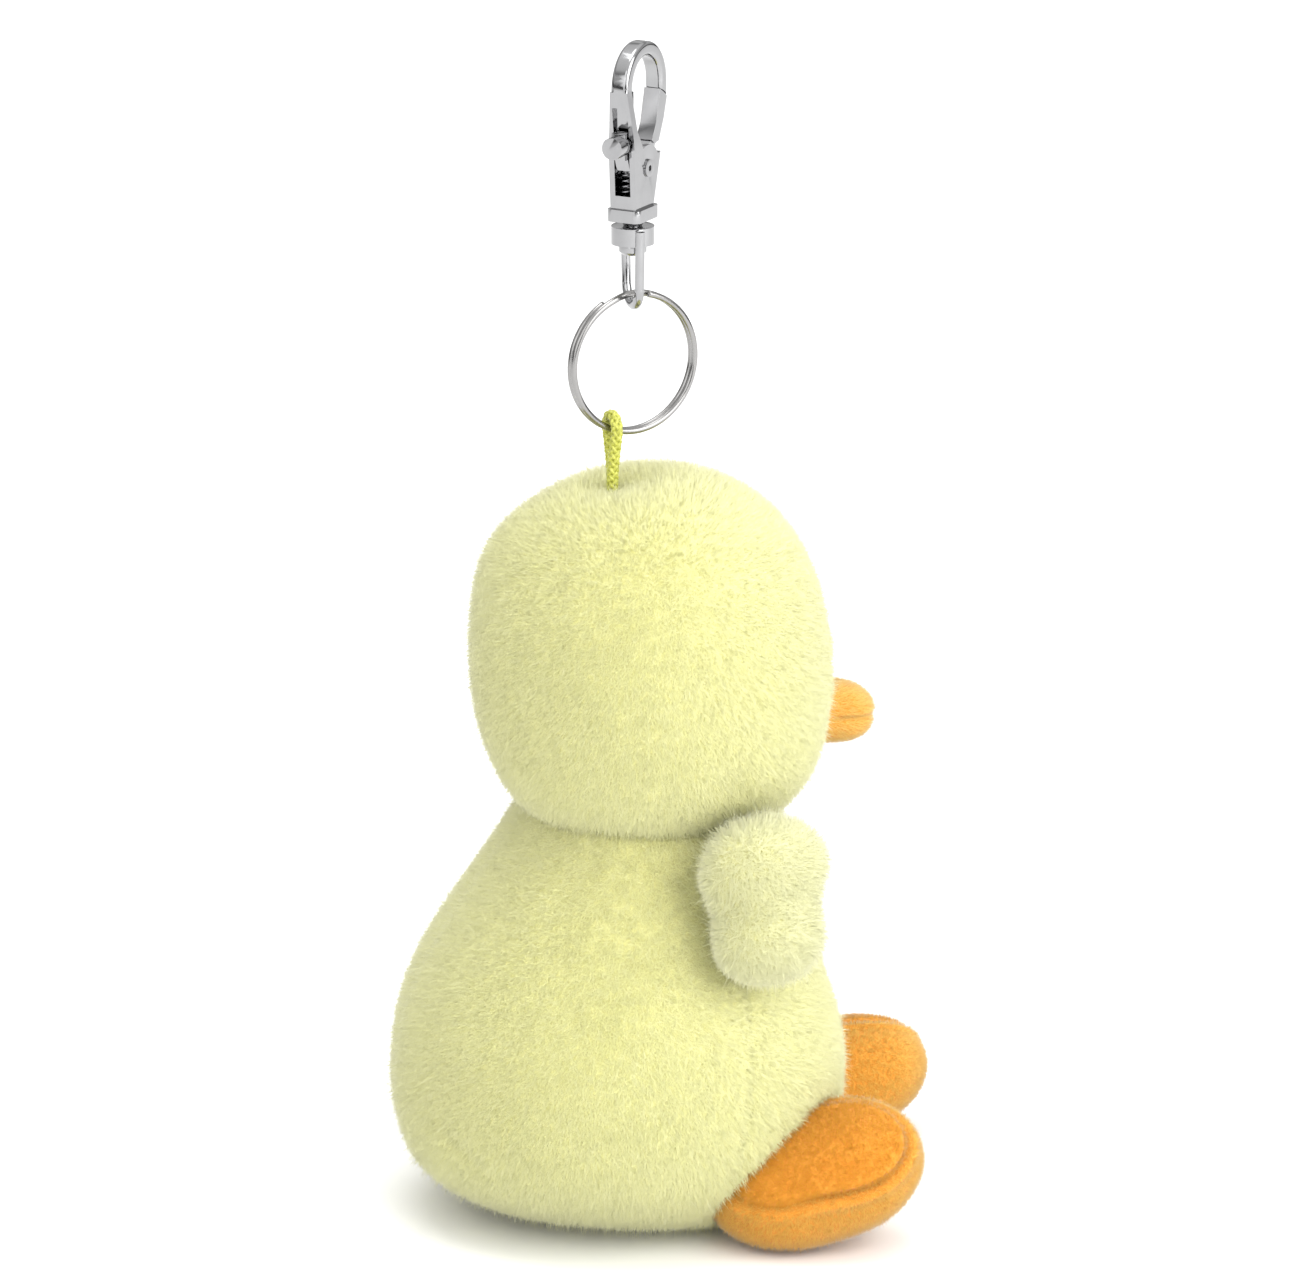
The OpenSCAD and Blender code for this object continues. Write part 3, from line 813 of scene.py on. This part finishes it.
SWIVEL = np.array([-1.5154, 1.0611, 0])
RING_R, WIRE_R, COIL_HALF, RING_Z = 9.55, 0.45, 0.43, -37.95
RING_TURN = 113


def make_ring():
    """One wire wound almost twice, crossing from coil to coil where both of its ends lie."""
    cross_at, cross_half = 84, 17
    angle = np.radians(np.arange(cross_at + cross_half + 2, cross_at + 720 - cross_half - 2, 2.5))
    turned = np.degrees(angle) - cross_at
    axial = COIL_HALF * (2 * smooth_step((turned - 360 + cross_half) / (2 * cross_half)) - 1)
    flat = np.stack([RING_R * np.cos(angle), -axial, RING_R * np.sin(angle)], axis=1)
    path = flat @ turn_z(RING_TURN).T + SWIVEL + [0, 0, RING_Z]
    ring = tube_object("split_ring_wire", [tube(path, WIRE_R, 16)], STEEL)
    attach(ring, "ring")
    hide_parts("split_ring")


LOOP_AT, LOOP_R = 20, 1.85
SEAM_Z, FOOT, KNOT_Z = -55.5, 0.87, -63.4
TOP_TWIST, SEAM_TWIST = -9, -31       # how far the loop turns from the ring's cross-section


def cord_path():
    """The loop's centreline, from the knot up, round the ring and back."""
    wire_z = RING_Z - RING_R * math.cos(math.radians(LOOP_AT))
    drop = wire_z - SEAM_Z
    lean = math.asin(LOOP_R / math.hypot(FOOT, drop)) - math.atan(FOOT / drop)
    round_top = [(LOOP_R * math.cos(a), wire_z + LOOP_R * math.sin(a))
                 for a in np.linspace(-lean, math.pi + lean, 40)]
    def leg(side):
        x, z = side * LOOP_R * math.cos(lean), wire_z - LOOP_R * math.sin(lean)
        down = [(x + (side * FOOT - x) * t, z + (SEAM_Z - z) * t) for t in np.linspace(0.04, 1, 30)]
        return down + [(side * FOOT, z) for z in np.linspace(SEAM_Z - 0.4, KNOT_Z, 18)]
    flat = np.array(leg(1)[::-1] + round_top + leg(-1))
    place = SWIVEL + RING_R * math.sin(math.radians(LOOP_AT)) * np.array(
        [math.cos(math.radians(RING_TURN)), math.sin(math.radians(RING_TURN)), 0])
    fall = smooth_step((wire_z + LOOP_R - flat[:, 1]) / (wire_z + LOOP_R - SEAM_Z))
    twist = np.radians(RING_TURN - 90 + TOP_TWIST + (SEAM_TWIST - TOP_TWIST) * fall)
    loop = [flat[:, 0] * np.cos(twist), flat[:, 0] * np.sin(twist), flat[:, 1]]
    return np.stack(loop, axis=1) + place


def even(path, step):
    """The same line with points a step apart."""
    length = np.concatenate([[0], np.cumsum(np.linalg.norm(np.diff(path, axis=0), axis=1))])
    at = np.arange(0, length[-1], step)
    return np.stack([np.interp(at, length, path[:, k]) for k in range(3)], axis=1), at


CORE_R, YARN_R, BRAID_R, WEAVE, BRAID_PITCH = 0.5, 0.26, 0.53, 0.09, 4.2


def make_cord():
    """Eight yarns braided over a core: four wind each way and pass over and under."""
    path, at = even(cord_path(), 0.1)
    face = math.radians(RING_TURN - 90)
    along = unit(np.gradient(path, axis=0))
    side = np.array([math.sin(face), -math.cos(face), 0])
    side = unit(side - along * (along @ side)[:, None])
    other = np.cross(along, side)
    yarns = [tube(path[::3], CORE_R, 8)]
    for way in (-1, 1):
        for k in range(4):
            angle = way * 2 * np.pi * at / BRAID_PITCH + k * np.pi / 2
            weave = BRAID_R + way * WEAVE * np.cos(8 * np.pi * at / BRAID_PITCH)
            out = np.cos(angle)[:, None] * side + np.sin(angle)[:, None] * other
            yarns.append(tube(path + weave[:, None] * out, YARN_R, 6))
    cord = tube_object("braided_loop", yarns, cord_yarn())
    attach(cord, "chick")
    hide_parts("hang_loop_cord")


NECK_Z, NECK_R, STITCHES = -101.6, 16.6, 40


def make_neck_thread():
    """Ladder stitches that go to and fro between the head and the body."""
    turn = np.linspace(0, 2 * np.pi, STITCHES * 8 + 1)
    step = np.clip(np.sin(turn * STITCHES) * 2.5, -1, 1)
    path = np.stack([MID_X + NECK_R * np.sin(turn), -1.3 - NECK_R * np.cos(turn),
                     NECK_Z + 0.7 * step], axis=1)
    thread = tube_object("neck_ladder_stitch", [tube(path, 0.16, 6)],
                         filler("seam_thread", (0.75, 0.72, 0.28), 2500))
    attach(thread, "chick")
    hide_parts("neck_seam_thread")


SPRING_R, SPRING_WIRE, SPRING_TURNS, PRESSED = 0.6, 0.13, 4, 0.5


def make_spring():
    """The coil under the gate's arm."""
    low, high = (np.array(corner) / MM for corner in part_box("gate_spring"))
    turn = np.linspace(0, 2 * np.pi * SPRING_TURNS, 24 * SPRING_TURNS + 1)
    middle = (low + high) / 2
    rise = np.linspace(low[2] + SPRING_WIRE, high[2] - SPRING_WIRE, len(turn))
    path = np.stack([middle[0] + SPRING_R * np.cos(turn), middle[1] + SPRING_R * np.sin(turn),
                     rise], axis=1)
    spring = tube_object("gate_spring_coil", [tube(path, SPRING_WIRE, 8)], SPRING_STEEL)
    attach(spring, "clasp")
    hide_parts("gate_spring")
    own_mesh(spring)


# ---------- nodes that keep their CAD shape ----------

def dress(name, material, bevel=0.0):
    """Gives a CAD node its material and, in millimetres, rounded edges."""
    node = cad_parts[name]
    node.data.materials.clear()
    node.data.materials.append(material)
    if bevel:
        weld = node.modifiers.new("weld", "WELD")
        weld.merge_threshold = 0.000002
        rounding = node.modifiers.new("rounding", "BEVEL")
        rounding.width, rounding.segments = bevel * MM, 3
        rounding.limit_method, rounding.angle_limit = "ANGLE", math.radians(32)
        node.modifiers.new("shading", "WEIGHTED_NORMAL").keep_sharp = False


def dress_nodes():
    for name, bevel in (("clasp_body", 0.22), ("gate_lever", 0.18), ("gate_pin", 0.06),
                        ("swivel_rivet", 0.15), ("swivel_eye", 0.12)):
        dress(name, CHROME, bevel)
    dress("loop_anchor_knot", cord_yarn())
    plain = filler("washer_plastic", (0.82, 0.82, 0.8), 300)
    for name in ("eye_washer_left", "eye_washer_right", "weighting_pellets"):
        dress(name, plain)
    dress("pellet_pouch", filler("pouch_cloth", (0.8, 0.8, 0.76), 1500))


# ---------- studio ----------

def add_floor():
    bm = bmesh.new()
    bmesh.ops.create_grid(bm, x_segments=8, y_segments=8, size=6)
    mesh = bpy.data.meshes.new("floor")
    bm.to_mesh(mesh)
    bm.free()
    floor = bpy.data.objects.new("floor", mesh)
    floor.location.z = GROUND * MM - 0.0002
    material = principled("floor_paper", (0.93, 0.93, 0.93), 0.9, Specular_IOR_Level=0.1)
    vary_color(material, (0.925, 0.925, 0.925), (0.935, 0.935, 0.935), 3)
    mesh.materials.append(material)
    bpy.context.scene.collection.objects.link(floor)


def add_light(name, place, aim, size, power):
    data = bpy.data.lights.new(name, "AREA")
    data.shape, data.size, data.energy = "DISK", size, power
    light = bpy.data.objects.new(name, data)
    light.location = place
    light.rotation_euler = (Vector(place) - Vector(aim)).to_track_quat("Z", "Y").to_euler()
    bpy.context.scene.collection.objects.link(light)


def add_world():
    """Bands of light and dark from straight below to the zenith, for the metal to reflect."""
    world = bpy.data.worlds.new("studio")
    bpy.context.scene.world = world
    world.use_nodes = True
    nodes, links = world.node_tree.nodes, world.node_tree.links
    place = nodes.new("ShaderNodeTexCoord")
    split = nodes.new("ShaderNodeSeparateXYZ")
    ramp = nodes.new("ShaderNodeValToRGB")
    span = nodes.new("ShaderNodeMapRange")
    span.inputs["From Min"].default_value = -1
    bands = [(0.0, 0.25), (0.40, 0.45), (0.47, 0.12), (0.53, 0.10), (0.58, 0.55), (0.70, 0.9),
             (0.76, 0.35), (0.82, 1.0), (1.0, 1.4)]
    ramp.color_ramp.elements.remove(ramp.color_ramp.elements[1])
    for position, level in bands[1:]:
        ramp.color_ramp.elements.new(position).color = (level, level, level, 1)
    ramp.color_ramp.elements[0].position = 0
    ramp.color_ramp.elements[0].color = (bands[0][1],) * 3 + (1,)
    links.new(place.outputs["Generated"], split.inputs["Vector"])
    links.new(split.outputs["Z"], span.inputs["Value"])
    links.new(span.outputs["Result"], ramp.inputs["Fac"])
    links.new(ramp.outputs["Color"], nodes["Background"].inputs["Color"])
    nodes["Background"].inputs["Strength"].default_value = 1.0


def add_studio():
    scene = bpy.context.scene
    scene.view_settings.view_transform = "Standard"
    add_floor()
    add_world()
    aim = (0, 0, -0.09)
    add_light("key", (-0.85, -0.8, 0.5), aim, 1.4, 17)
    add_light("fill", (-1.1, 0.8, 0.5), aim, 1.4, 7)
    add_light("top", (0.1, 0.1, 1.3), aim, 1.0, 8)


make_ring()
make_cord()
make_neck_thread()
make_spring()
make_eyes()
make_head()
make_body()
make_wings()
make_feet()
make_beak()
dress_nodes()
add_studio()
